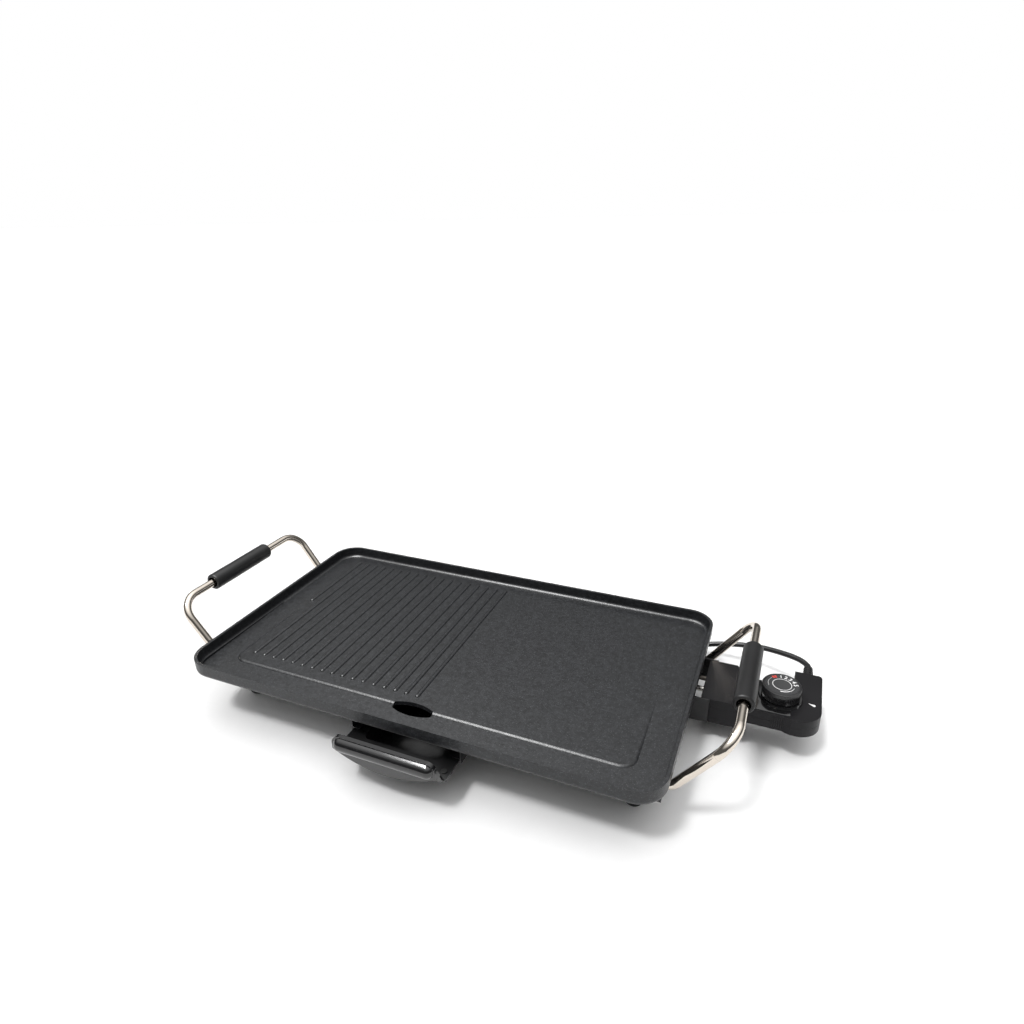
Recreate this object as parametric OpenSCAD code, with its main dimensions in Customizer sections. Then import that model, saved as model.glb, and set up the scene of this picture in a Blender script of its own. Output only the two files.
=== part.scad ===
// Electric table griddle: a cast non-stick plate on four legs, with wire handles, a drip tray on
// rails and a plug-in thermostat control. Millimetres, +Z up. The origin is under the middle of the
// plate, on the surface that the feet stand on. +X points at the control, and the tray pulls to -Y.

/* [Cooking plate] */
// Length of the plate at its rim
plate_l = 480; // [400:2:580]
// Width of the plate at its rim
plate_w = 280; // [232:2:340]
// Height of the rim above the table
rim_z = 68; // [66:1:84]
// Height of the plate casting from its underside to its rim
plate_h = 16; // [15.5:0.5:20]
// Depth from the rim to the cooking surface
pan_depth = 11.8; // [10:0.2:12]
// Thickness of the upright rim wall
rim_wall = 3; // [2:0.25:4]
// Corner radius of the plate seen from above
plate_r = 26; // [20:1:40]
// Width of the grease channel along the front edge
channel_front = 30; // [26:1:36]
// Width of the grease channel along each side
channel_side = 26; // [22:1:36]
// How far the channel falls towards the front
channel_fall = 2.2; // [1:0.2:2.4]
// Rounding of the platform's edge above the channel
platform_edge = 4; // [3:0.5:6]
// Length of the drain hole
drain_l = 41; // [30:1:48]
// Width of the drain hole
drain_w = 15.5; // [12:0.5:20]

/* [Ribs] */
// Number of full-length ribs on the left half
rib_count = 17; // [8:1:17]
// Distance from one rib to the next
rib_pitch = 12.1; // [9:0.1:12.2]
// Width of a rib at the cooking surface
rib_w = 4.6; // [3:0.2:6]
// Height of a rib above the cooking surface
rib_h = 1.5; // [1:0.1:2]

/* [Legs] */
// Distance from the plate's edge to a leg's axis, along the length
leg_inset_x = 33; // [30:1:45]
// Distance from the plate's edge to a leg's axis, along the width
leg_inset_y = 58; // [50:1:62]
// Radius of a leg at its foot
leg_foot_r = 9; // [7:0.5:11]

/* [Handles] */
// Diameter of the handle rod
rod_d = 8.6; // [6:0.2:10]
// How far a handle bar stands out from the plate's edge
handle_reach = 44.3; // [36:1:60]
// Height of the handle bar's axis above the table
handle_z = 98.9; // [88:1:110]
// Half the length of the handle bar, between its bends' sharp corners
handle_half = 94; // [90:0.5:110]
// Bend radius at the ends of the handle bar
handle_bend = 21.5; // [18:0.5:28]
// Length of the grip
grip_l = 86; // [70:1:105]
// Diameter of the grip
grip_d = 18; // [15:0.5:24]

/* [Drip tray] */
// Overall width of the tray over its side flanges
tray_w = 110; // [90:1:120]
// Length of the tray from front to back
tray_l = 122; // [100:2:140]
// Height of the tray's rim above the table
tray_z = 34; // [31:0.5:36]
// Depth of the tray's basin
tray_depth = 16; // [12:0.5:18]
// Thickness of the tray's sheet metal
tray_t = 1; // [0.8:0.1:1.4]
// How far the tray's front edge stands out past the plate
tray_out = 12; // [10:1:24]

/* [Thermostat control] */
// Gap between the plate's edge and the control's nose
nose_gap = 4.5; // [3:0.5:10]
// Length of the control from its nose to its outer end
control_l = 105.5; // [98:0.5:130]
// Height of the control's top above the table
control_z = 48; // [46:0.5:50]
// Height of the nose
nose_h = 26; // [24:0.5:30]
// Height of the knob section
deck_h = 17; // [16:0.5:20]
// Width of the nose
nose_w = 64; // [60:1:70]
// Wall thickness of the control's covers
cover_wall = 2.2; // [1.6:0.1:3]
// Diameter of the knob
knob_d = 35.5; // [30:0.5:40]
// Height of the knob
knob_h = 12; // [9:0.5:14]
// Distance between the two terminal pins
pin_gap = 36; // [30:1:40]
// Diameter of a terminal pin
pin_d = 4.8; // [4:0.1:5.4]
// Diameter of the temperature probe
probe_d = 5.2; // [4:0.1:6]

/* [Cord] */
// Diameter of the power cord
cord_d = 5.8; // [5:0.2:7]

/* [Hidden] */
$fn = 48;

fit = 0.05;          // running and push fits, radial
gap = 0.3;           // between pieces that only lie beside each other
slack = 0.6;         // between the tray and its rails
lap = 0.4;           // a rod's straight runs reach this far into its bends
neck = 0.05;         // bending draws a rod in by this much, radially

plate_x = plate_l / 2;
plate_y = plate_w / 2;
under_z = rim_z - plate_h;          // underside of the plate
cook_z = rim_z - pan_depth;         // cooking surface
edge_r = 6;                         // rounding of the plate's lower outer edge
pan_fillet = 4;                     // rounding at the foot of the rim wall
pan_r = plate_r - rim_wall;         // corner radius of the pan
platform_x = plate_x - rim_wall - channel_side;
platform_y = plate_y - rim_wall - channel_front;
platform_r = 15;
channel_start = 4;                  // y at which the channel starts to fall
drain_x = 3.5;                      // the drain, and the tray below it, sit a little off the middle
drain_y = -(platform_y - 0.7);      // astride the step down into the channel

rib_r = (rib_w * rib_w / 4 + rib_h * rib_h) / (2 * rib_h);
rib_z = cook_z + rib_h - rib_r;
rib_front = -(platform_y - 18);
rib_rear = plate_y - 20;
short_rib_front = 20;
first_rib_x = -1;

leg_x = plate_x - leg_inset_x;
leg_y = plate_y - leg_inset_y;
leg_top_r = 11;
boss_h = 6;                         // the plate's bosses stand down this far onto the legs
leg_z = 5;
m4 = 2;                             // radius of the M4 screws
m3 = 1.5;                           // radius of the M3 screws
screw_bite = 1.6;                   // how far a screw's hole runs into the plate itself

rod_r = rod_d / 2;
rod_z = under_z - rod_r - 9.7;
foot_half = handle_half - 2;
foot_bend = 10;
foot_x = plate_x - 0.5;
foot_end = plate_x - 19.5;
clamp_x = plate_x - 12.5;
clamp_w = 12;
clamp_in = rod_r + 2;               // a clamp hooks round the rod on the side nearer the middle
clamp_out = rod_r + 10.5;           // and takes its screw on the other side
clamp_screw = rod_r + 6.2;
clamp_floor = 2.6;

element_r = 3.3;
element_z = under_z - element_r - fit;
element_x = plate_x - 52;
element_y = plate_y - 48;
element_bend = 20;
clip_w = 9;
clip_half = 10;
clip_screw = 7.2;

control_y = foot_half - 42;         // centre line of the terminals and the nose, beside the rod
nose_x = plate_x + nose_gap;
control_end = nose_x + control_l;
terminal_z = control_z - 14;
pin_r = pin_d / 2;
pin_back = plate_x - 9;             // where the element's sheath ends and its pins start
pin_tip = nose_x + 18;
guard_back = plate_x - 14;
guard_t = 1.5;
guard_tab = 12;
guard_screw_x = plate_x - 21;
probe_r = probe_d / 2;
probe_tip = plate_x - 72;

tray_x = drain_x + 3;
tray_front = -(plate_y + tray_out);
tray_back = tray_front + tray_l;
tray_flange = 15;
basin_front = 16;                   // flange at the tray's front and back
rail_z = tray_z - tray_t;           // underside of the tray's flange
rail_t = 1.4;
rail_front = -(plate_y - 12);
rail_back = tray_back + 4;
rail_lip = 7;
rail_tab = 10;
rail_screw_y = [rail_front + 12, rail_back - 12];
bar_r = 7.2;                        // bar along the front of the tray's handle
bar_z = tray_z + 14;
bar_y = tray_front - 9.5;
bar_half = tray_w / 2 - 5;
fin_half = bar_half + 1.5;          // the half-moon plate behind the bar stands out round it
fin_t = 4;
fin_drop = 19;
web_t = 3;                          // a web at each end runs down to the tray's corner
base_t = 3;                         // the handle's base is fixed under the tray's front flange
base_z = tray_z - tray_t - base_t;

deck_z = control_z - deck_h;        // underside of the knob section
nose_z = control_z - nose_h;        // underside of the nose
split_z = deck_z + deck_h / 2;      // joint between the two covers
nose_l = 40;                        // length of the deep part of the nose
neck_l = 28.5;
block_l = 25;                       // outer block that the cord leaves from
neck_front = control_y - 32;
neck_rear = control_y + 16;
block_front = control_y - 35;
block_rear = control_y + 43;
block_x = control_end - block_l;
knob_x = control_end - 36.5;
knob_y = control_y - 5;
knob_r = knob_d / 2;
bezel_r = knob_r + 2.4;
bezel_h = 2.4;
knob_z = control_z + bezel_h + gap;
knob_top = knob_z + knob_h;
shaft_r = 3;
switch_top = control_z - cover_wall - gap;
socket_l = 22;
socket_wall = 1.6;
boss_r = 3.6;
relief_x = control_end - block_l / 2;
relief_l = 22;
exit_y = block_rear + relief_l;

cord_r = cord_d / 2;
coil_x = 140;
coil_y = 182;
coil_mid = 11.4 * cord_d / 2;
coil_out = coil_mid + 1.5 * cord_d + 0.2;
coil_in = coil_mid - 1.5 * cord_d - 0.2;
tie_t = 0.8;
coil_z = tie_t + 0.1;
coil_h = 2 * cord_d + 0.3;
tail_z = coil_z + 1.5 * cord_d;
plug_x = 100;
plug_y = coil_y - coil_mid - cord_d;
plug_z = 10.5;

// Route of the cord from the strain relief to the coil
cord_route = [[337.5, 115, 39.5], [337.2, 118.4, 39.5], [334.8, 123, 39.3], [330.3, 128.2, 38.7],
    [323.4, 133.8, 37.5], [314.6, 139.4, 35.6], [304.2, 145.2, 33.2], [293, 150.8, 30.4],
    [280, 154.8, 27.3], [267, 157.8, 24], [254, 159.8, 20.4], [241, 160.6, 16.6],
    [228, 160.2, 12.8], [215, 158.4, 9.2], [202, 155.6, 6.2], [189, 152.2, 4.4], [176, 148.8, 3.8],
    [168, 146.95, 3.8]];
// Route of the cord's last stretch, from the coil to the plug
tail_route = [[116, 144, 9.6], [110, 143.3, 10], [104, 143.14, 10.5], [100, 143.14, 10.5]];

black = "#1d1e20";
coating = "#2b2e31";
steel = "#c9c7c2";
zinc = "#a9aaa8";

function unit(v) = v / norm(v);
function signs() = [[1, 1], [-1, 1], [-1, -1], [1, -1]];
function leg_points() = [for (s = signs()) [s[0] * leg_x, s[1] * leg_y]];

// Centre and direction of every clip on the heating element
function clip_points() = [
    [-element_x, -element_y / 2, 90], [-element_x, element_y / 2, 90],
    [-element_x / 2, element_y, 0], [element_x / 2, element_y, 0],
    [element_x, -element_y / 2, 90], [drain_x, element_mid(), 0]];
function element_mid() = tray_back + 26;

// Rectangle with round corners between two opposite corners
module round_rect(x0, y0, x1, y1, r) {
    translate([x0 + r, y0]) square([x1 - x0 - 2 * r, y1 - y0]);
    translate([x0, y0 + r]) square([x1 - x0, y1 - y0 - 2 * r]);
    for (x = [x0 + r, x1 - r], y = [y0 + r, y1 - r]) translate([x, y]) circle(r);
}

// Slot with round ends along X, centred
module slot(l, w) {
    square([l - w, w], center = true);
    for (s = [-1, 1]) translate([s * (l - w) / 2, 0]) circle(w / 2);
}

// Eye shape of two long arcs with rounded tips, l long and w wide, centred
module eye(l, w) {
    half = l / 2 + 5;
    r = (half * half + w * w / 4) / w;
    intersection() {
        slot(l, w);
        translate([0, r - w / 2]) circle(r, $fn = 120);
        translate([0, w / 2 - r]) circle(r, $fn = 120);
    }
}

// Sweeps a profile round a rectangle of sx by sy. Its x = 0 is the centre of each corner arc,
// and the rectangle is filled from z0 to z1.
module swept_slab(sx, sy, z0, z1) {
    for (k = [0 : 3]) {
        s = signs()[k];
        side = k % 2 == 0 ? sy : sx;
        across = k % 2 == 0 ? sx : sy;
        translate([s[0] * sx / 2, s[1] * sy / 2, 0]) rotate(90 * k) rotate_extrude(angle = 90) children();
        rotate(90 * k) translate([across / 2, side / 2, 0]) rotate([90, 0, 0]) linear_extrude(side) children();
    }
    translate([-sx / 2, -sy / 2, z0]) cube([sx, sy, z1 - z0]);
}

// Half profile with a rounded lower corner: r wide, from z0 to z1
module bowl_profile(r, z0, z1, fillet) {
    translate([0, z0]) square([r - fillet, z1 - z0]);
    translate([0, z0 + fillet]) square([r, z1 - z0 - fillet]);
    translate([r - fillet, z0 + fillet]) circle(fillet);
}

// Length that the bend at point i takes off the straight runs beside it
function bend_cut(p, b, i) = i == 0 || i == len(p) - 1 ? 0 : b[i] * tan(bend_turn(p, i) / 2);
function bend_turn(p, i) = acos(unit(p[i] - p[i - 1]) * unit(p[i + 1] - p[i]));

// Run i of a bent rod and all that follows it, drawn along +Z. x is the frame's X axis.
module rod_run(p, b, r, i, x) {
    d = unit(p[i + 1] - p[i]);
    l = norm(p[i + 1] - p[i]) - bend_cut(p, b, i) - bend_cut(p, b, i + 1);
    before = i > 0 ? lap : 0;
    after = i < len(p) - 2 ? lap : 0;
    translate([0, 0, -before]) cylinder(r = r, h = before + l + after);
    if (i < len(p) - 2) {
        next = unit(p[i + 2] - p[i + 1]);
        aside = unit(next - (next * d) * d);
        turn = bend_turn(p, i + 1);
        translate([0, 0, l]) rotate(atan2(cross(x, aside) * d, x * aside)) translate([b[i + 1], 0, 0]) {
            rotate([90, 0, 180]) rotate_extrude(angle = turn) translate([b[i + 1], 0]) circle(r - neck);
            rotate([0, turn, 0]) translate([-b[i + 1], 0, 0])
                rod_run(p, b, r, i + 1, aside * cos(turn) - d * sin(turn));
        }
    }
}

// Round rod through the points p, bent at each inner point to the radius b[i]
module bent_rod(p, b, r) {
    d = unit(p[1] - p[0]);
    tilt = acos(d[2]);
    az = atan2(d[1], d[0]);
    translate(p[0]) rotate([0, tilt, az])
        rod_run(p, b, r, 0, [cos(az) * cos(tilt), sin(az) * cos(tilt), -sin(tilt)]);
}

// Screw driven upwards: its head's lower face is at z
module screw_up(x, y, z, r, l, head_r, head_h) {
    translate([x, y, z]) cylinder(r = head_r, h = head_h);
    translate([x, y, z + head_h]) cylinder(r = r, h = l);
}

// Saddle under a rod of radius r that runs along X through the origin. It spans y0 to y1, with a
// screw hole at each y in screws.
module saddle(w, y0, y1, screws, r, floor_t, hole_r) {
    difference() {
        translate([-w / 2, y0, -r - floor_t]) cube([w, y1 - y0, r + floor_t - gap]);
        translate([-w / 2 - 1, 0, 0]) rotate([0, 90, 0]) cylinder(r = r + fit, h = w + 2);
        for (y = screws) translate([0, y, -r - floor_t - 1]) cylinder(r = hole_r, h = r + floor_t + 2);
    }
}

// ---------------------------------------------------------------- cooking plate

module rib(x, y0, y1) {
    translate([x, y0, rib_z]) rotate([-90, 0, 0]) cylinder(r = rib_r, h = y1 - y0);
    for (y = [y0, y1]) translate([x, y, rib_z]) sphere(rib_r);
}

// The platform that the channel runs round, with its upper edge rounded
module platform() {
    back = 2 * plate_y;
    translate([0, (back - platform_y) / 2, 0])
        swept_slab(2 * (platform_x - platform_r), back + platform_y - 2 * platform_r, under_z - 1, cook_z + 2) {
            translate([0, under_z - 1]) square([platform_r - 0.85 * platform_edge, plate_h]);
            translate([0, under_z - 1]) square([platform_r, cook_z - platform_edge - under_z + 1]);
            translate([platform_r - platform_edge, cook_z - platform_edge]) circle(platform_edge, $fn = 96);
        }
}

module grease_channel() {
    intersection() {
        difference() {
            translate([0, 0, under_z]) linear_extrude(plate_h)
                round_rect(-plate_x + rim_wall + 2, -plate_y + rim_wall + 2, plate_x - rim_wall - 2,
                           plate_y - rim_wall - 2, pan_r - 2);
            platform();
        }
        rotate([90, 0, 90]) translate([0, 0, -plate_x]) linear_extrude(plate_l)
            polygon([[channel_start, cook_z], [channel_start, cook_z + 1], [-plate_y, cook_z + 1],
                     [-plate_y, cook_z - channel_fall]]);
    }
}

module griddle_plate() {
    color(coating) difference() {
        union() {
            difference() {
                swept_slab(plate_l - 2 * plate_r, plate_w - 2 * plate_r, under_z, rim_z)
                    bowl_profile(plate_r, under_z, rim_z, edge_r);
                swept_slab(plate_l - 2 * plate_r, plate_w - 2 * plate_r, cook_z, rim_z + 1)
                    bowl_profile(pan_r, cook_z, rim_z + 1, pan_fillet);
                grease_channel();
            }
            for (i = [0 : rib_count - 1]) rib(first_rib_x - i * rib_pitch, rib_front, rib_rear);
            rib(first_rib_x - rib_count * rib_pitch, short_rib_front, rib_rear);
            for (p = leg_points()) translate([p[0], p[1], under_z - boss_h]) cylinder(r = 8, h = boss_h + 1);
            for (s = signs()) translate([s[0] * clamp_x - clamp_w / 2, foot_half * s[1], rod_z + gap])
                mirror([0, s[1] < 0 ? 1 : 0, 0]) translate([0, -clamp_in, 0])
                    cube([clamp_w, clamp_in + clamp_out, under_z + 1 - rod_z - gap]);
            for (p = clip_points(), s = [-1, 1])
                translate([p[0], p[1], 0]) rotate(p[2]) translate([0, s * clip_screw, element_z + gap])
                    cylinder(r = 3, h = under_z + 1 - element_z - gap);
        }
        translate([drain_x, drain_y, under_z - 1]) linear_extrude(plate_h) eye(drain_l, drain_w);
        for (s = signs()) translate([s[0] * clamp_x, s[1] * foot_half, rod_z]) {
            translate([-clamp_w, 0, 0]) rotate([0, 90, 0]) cylinder(r = rod_r + fit, h = 2 * clamp_w);
            translate([0, s[1] * clamp_screw, 0]) cylinder(r = m4 + fit, h = under_z - rod_z + screw_bite - 1);
        }
        for (p = leg_points()) translate([p[0], p[1], under_z - boss_h - 1])
            cylinder(r = m4 + fit, h = boss_h + 1 + screw_bite);
        for (p = clip_points(), s = [-1, 1])
            translate([p[0], p[1], 0]) rotate(p[2]) translate([0, s * clip_screw, element_z])
                cylinder(r = m3 + fit, h = under_z - element_z + screw_bite);
        for (s = [-1, 1]) translate([guard_screw_x, guard_screw_y(s), under_z - 1])
            cylinder(r = m3 + fit, h = 1 + screw_bite);
        for (s = [-1, 1], y = rail_screw_y) translate([rail_screw_x(s), y, under_z - 1])
            cylinder(r = m3 + fit, h = 1 + screw_bite);
    }
}

// ---------------------------------------------------------------- legs

module legs() {
    color(black) for (p = leg_points()) translate([p[0], p[1], 0]) difference() {
        translate([0, 0, leg_z]) cylinder(r1 = leg_foot_r, r2 = leg_top_r, h = under_z - leg_z);
        translate([0, 0, leg_z - 1]) cylinder(r = 4.5, h = 20);
        translate([0, 0, leg_z]) cylinder(r = m4 + fit, h = under_z);
        translate([0, 0, under_z - boss_h]) cylinder(r = 8 + fit, h = boss_h + 1);
    }
}

module leg_screws() {
    color(zinc) for (p = leg_points())
        screw_up(p[0], p[1], leg_z + 19 - 2.6, m4, under_z - leg_z - 19 + 1, 4, 2.6);
}

module foot_pads() {
    color(black) for (p = leg_points()) translate([p[0], p[1], 0]) {
        cylinder(r1 = leg_foot_r - 1.6, r2 = leg_foot_r, h = 2.5);
        translate([0, 0, 2.5]) cylinder(r = leg_foot_r, h = leg_z - 2.5);
        translate([0, 0, leg_z]) cylinder(r = 4.5 - fit, h = 8);
    }
}

// ---------------------------------------------------------------- handles

module handle_rod(s) {
    bar_x = plate_x + handle_reach;
    color(steel) bent_rod([[s * foot_end, -foot_half, rod_z], [s * foot_x, -foot_half, rod_z],
        [s * bar_x, -handle_half, handle_z], [s * bar_x, handle_half, handle_z],
        [s * foot_x, foot_half, rod_z], [s * foot_end, foot_half, rod_z]],
        [0, foot_bend, handle_bend, handle_bend, foot_bend, 0], rod_r);
}

module grip(s) {
    mouth = 1.8;
    color(black) translate([s * (plate_x + handle_reach), -grip_l / 2 - 3.5, handle_z]) rotate([-90, 0, 0])
        difference() {
            rotate_extrude() {
                translate([0, 2]) square([grip_d / 2, grip_l - 4]);
                square([grip_d / 2 - 2, grip_l]);
                for (z = [2, grip_l - 2]) translate([grip_d / 2 - 2, z]) circle(2);
            }
            translate([0, 0, -1]) cylinder(r = rod_r + fit, h = grip_l + 2);
            for (z = [-1, grip_l - 7]) translate([0, 0, z]) cylinder(r = rod_r + mouth, h = 8);
        }
}

module rod_clamps() {
    color(zinc) for (s = signs()) translate([s[0] * clamp_x, s[1] * foot_half, rod_z])
        mirror([0, s[1] < 0 ? 1 : 0, 0])
            saddle(clamp_w, -clamp_in, clamp_out, [clamp_screw], rod_r, clamp_floor, m4 + fit);
}

module clamp_screws() {
    head_h = 2.4;
    color(zinc) for (s = signs())
        screw_up(s[0] * clamp_x, s[1] * (foot_half + clamp_screw), rod_z - rod_r - clamp_floor - head_h,
                 m4, under_z - rod_z + rod_r + clamp_floor, 3.8, head_h);
}

// ---------------------------------------------------------------- heating element

module heating_element() {
    y0 = control_y - pin_gap / 2;
    y1 = control_y + pin_gap / 2;
    drop = guard_back - 22;
    side = tray_w / 2 + 30;
    path = [[pin_back, y0, terminal_z], [drop + 12, y0, terminal_z], [drop, y0, element_z],
        [element_x, y0, element_z], [element_x, -element_y, element_z],
        [tray_x + side, -element_y, element_z], [tray_x + side, element_mid(), element_z],
        [tray_x - side, element_mid(), element_z], [tray_x - side, -element_y, element_z],
        [-element_x, -element_y, element_z], [-element_x, element_y, element_z],
        [element_x, element_y, element_z], [element_x, y1, element_z], [drop, y1, element_z],
        [drop + 12, y1, terminal_z], [pin_back, y1, terminal_z]];
    b = [0, 7, 7, 9, element_bend, element_bend, element_bend, element_bend, element_bend,
        element_bend, element_bend, 10, 9, 7, 7, 0];
    color(zinc) bent_rod(path, b, element_r);
}

module element_clips() {
    color(zinc) for (p = clip_points()) translate([p[0], p[1], element_z]) rotate(p[2])
        saddle(clip_w, -clip_half, clip_half, [-clip_screw, clip_screw], element_r, 1.2, m3 + fit);
}

module clip_screws() {
    head_h = 1.8;
    color(zinc) for (p = clip_points(), s = [-1, 1])
        translate([p[0], p[1], 0]) rotate(p[2]) translate([0, s * clip_screw, 0])
            screw_up(0, 0, element_z - element_r - 1.2 - head_h, m3,
                     under_z - element_z + element_r + 1.2 + screw_bite - 0.4, 2.7, head_h);
}

module terminal_pins() {
    color(steel) for (s = [-1, 1])
        translate([pin_back, control_y + s * pin_gap / 2, terminal_z]) rotate([0, 90, 0]) {
            cylinder(r = pin_r, h = pin_tip - pin_back - 1.5);
            translate([0, 0, pin_tip - pin_back - 1.5]) cylinder(r1 = pin_r, r2 = pin_r - 1.2, h = 1.5);
        }
}

module terminal_seals() {
    color("white") for (s = [-1, 1])
        translate([pin_back, control_y + s * pin_gap / 2, terminal_z]) rotate([0, 90, 0]) difference() {
            cylinder(r = element_r + 0.6, h = 4);
            translate([0, 0, -1]) cylinder(r = pin_r + fit, h = 6);
        }
}

function guard_screw_y(s) = control_y + s * 10;

module terminal_guard() {
    half = nose_w / 2 + gap;
    color(black) difference() {
        union() {
            translate([guard_back, control_y - half - guard_t, nose_z]) 
                cube([guard_t, 2 * (half + guard_t), under_z - gap - nose_z]);
            for (s = [-1, 1]) {
                translate([guard_back, control_y + s * (half + guard_t / 2) - guard_t / 2, nose_z])
                    cube([nose_x + 8 - guard_back, guard_t, control_z - nose_z]);
                translate([guard_screw_x - guard_tab / 2, guard_screw_y(s) - guard_tab / 2, under_z - gap - guard_t])
                    cube([guard_back + guard_t - guard_screw_x + guard_tab / 2, guard_tab, guard_t]);
            }
        }
        for (s = [-1, 1]) {
            translate([guard_back - 1, control_y + s * pin_gap / 2, terminal_z]) rotate([0, 90, 0])
                cylinder(r = element_r + gap, h = guard_t + 2);
            translate([guard_screw_x, guard_screw_y(s), under_z - 5]) cylinder(r = m3 + fit, h = 6);
        }
        translate([guard_back - 1, control_y, terminal_z]) rotate([0, 90, 0])
            cylinder(r = probe_r + 1.5, h = guard_t + 2);
    }
}

module guard_screws() {
    head_h = 1.8;
    color(zinc) for (s = [-1, 1])
        screw_up(guard_screw_x, guard_screw_y(s), under_z - gap - guard_t - head_h, m3,
                 guard_t + gap + screw_bite - 0.4, 2.7, head_h);
}

// ---------------------------------------------------------------- drip tray

function rail_in(s) = tray_x + s * (tray_w / 2 + slack);
function rail_screw_x(s) = rail_in(s) + s * (rail_t + rail_tab / 2);

module tray_rail(s) {
    l = rail_back - rail_front;
    function edge(a, b) = s > 0 ? a : b;
    x = rail_in(s);
    color(zinc) difference() {
        union() {
            translate([edge(x, x - rail_t), rail_front, rail_z - slack - rail_t])
                cube([rail_t, l, under_z - gap - rail_z + slack + rail_t]);
            for (z = [rail_z - slack - rail_t, tray_z + slack])
                translate([edge(x - rail_lip, x), rail_front, z]) cube([rail_lip, l, rail_t]);
            translate([edge(x, x - rail_t - rail_tab), rail_front, under_z - gap - rail_t])
                cube([rail_t + rail_tab, l, rail_t]);
        }
        for (y = rail_screw_y) translate([rail_screw_x(s), y, under_z - 5]) cylinder(r = m3 + fit, h = 6);
    }
}

module rail_screws() {
    head_h = 1.8;
    color(zinc) for (s = [-1, 1], y = rail_screw_y)
        screw_up(rail_screw_x(s), y, under_z - gap - rail_t - head_h, m3,
                 rail_t + gap + screw_bite - 0.4, 2.7, head_h);
}

module drip_tray() {
    x0 = tray_x - tray_w / 2;
    x1 = tray_x + tray_w / 2;
    color(black) difference() {
        union() {
            translate([0, 0, tray_z - tray_t]) linear_extrude(tray_t) round_rect(x0, tray_front, x1, tray_back, 2);
            translate([0, 0, tray_z - tray_depth]) linear_extrude(tray_depth - tray_t / 2)
                round_rect(x0 + tray_flange, tray_front + basin_front, x1 - tray_flange, tray_back - 3, 6);
        }
        translate([0, 0, tray_z - tray_depth + tray_t]) linear_extrude(tray_depth + 1)
            round_rect(x0 + tray_flange + tray_t, tray_front + basin_front + tray_t,
                       x1 - tray_flange - tray_t, tray_back - 3 - tray_t, 6 - tray_t);
        for (s = [-1, 1]) translate([tray_x + s * rivet_x(), tray_front + 7, tray_z - 5])
            cylinder(r = m3 + fit, h = 6);
    }
}

function rivet_x() = tray_w / 2 - 6;

// Half-moon plate with a round bar along its front. A web at each of its ends leads to a base
// under the tray's front flange.
module tray_handle() {
    sag = fin_drop - 6;
    fin_r = (fin_half * fin_half + sag * sag) / (2 * sag);
    back = bar_y + fin_t / 2;
    color(black) difference() {
        union() {
            translate([tray_x - tray_w / 2 + 1, tray_front + 1, base_z]) cube([tray_w - 2, 12, base_t]);
            translate([tray_x - tray_w / 4, back - 1, base_z])
                cube([tray_w / 2, tray_front + 2 - back + 1, base_t]);
            translate([tray_x, back, bar_z]) rotate([90, 0, 0]) linear_extrude(fin_t) intersection() {
                translate([0, fin_r - fin_drop]) circle(fin_r, $fn = 180);
                round_rect(-fin_half, -fin_drop, fin_half, bar_r + 1, bar_r + 1);
            }
            translate([tray_x - bar_half + bar_r, bar_y, bar_z]) rotate([0, 90, 0])
                cylinder(r = bar_r, h = 2 * (bar_half - bar_r));
            for (s = [-1, 1]) {
                translate([tray_x + s * (bar_half - bar_r), bar_y, bar_z]) sphere(bar_r);
                translate([tray_x + s * (fin_half - web_t / 2) - web_t / 2, 0, 0]) rotate([90, 0, 90])
                    linear_extrude(web_t) polygon([[back - 1, bar_z + 3], [back - 1, bar_z - 10],
                        [tray_front - 1, base_z], [tray_front + 3, base_z], [tray_front + 3, rail_z],
                        [tray_front - gap, rail_z], [tray_front - gap, tray_z + 1]]);
            }
        }
        for (s = [-1, 1]) translate([tray_x + s * rivet_x(), tray_front + 7, base_z - 1])
            cylinder(r = m3 + fit, h = base_t + 2);
    }
}

module tray_rivets() {
    color(zinc) for (s = [-1, 1]) translate([tray_x + s * rivet_x(), tray_front + 7, 0]) {
        translate([0, 0, tray_z]) cylinder(r = 2.8, h = 1.2);
        translate([0, 0, base_z]) cylinder(r = m3, h = tray_z - base_z);
        translate([0, 0, base_z - 1.2]) cylinder(r = 2.8, h = 1.2);
    }
}

// ---------------------------------------------------------------- thermostat control

// Outline of the control seen from above, drawn in by i
module control_outline(i) {
    corner = 21;
    round_rect(nose_x + i, control_y - nose_w / 2 + i, nose_x + neck_l - i, control_y + nose_w / 2 - i, 3 - i / 2);
    translate([nose_x + neck_l - 6, neck_front + i])
        square([block_x - nose_x - neck_l + 12, neck_rear - neck_front - 2 * i]);
    translate([block_x + i, block_front + i]) square([block_l - 2 * i - corner + i, block_rear - block_front - 2 * i]);
    translate([block_x + i, block_front + corner])
        square([block_l - 2 * i, block_rear - block_front - corner - i - 4]);
    translate([control_end - corner, block_front + corner]) circle(corner - i);
    round_rect(block_x + i, block_rear - 20, control_end - i, block_rear - i, 4 - i / 2);
}

module nose_outline(i) {
    round_rect(nose_x + i, control_y - nose_w / 2 + i, nose_x + neck_l - i, control_y + nose_w / 2 - i, 3 - i / 2);
    translate([nose_x + 10, neck_front + i]) square([nose_l - 10 - i, neck_rear - neck_front - 2 * i]);
}

function control_screw_points() = [[nose_x + 24, control_y - nose_w / 2 + 6, nose_z],
    [nose_x + 24, control_y + nose_w / 2 - 6, nose_z], [control_end - 7.5, block_front + 20, deck_z],
    [block_x + 7, block_rear - 26, deck_z]];

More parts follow.
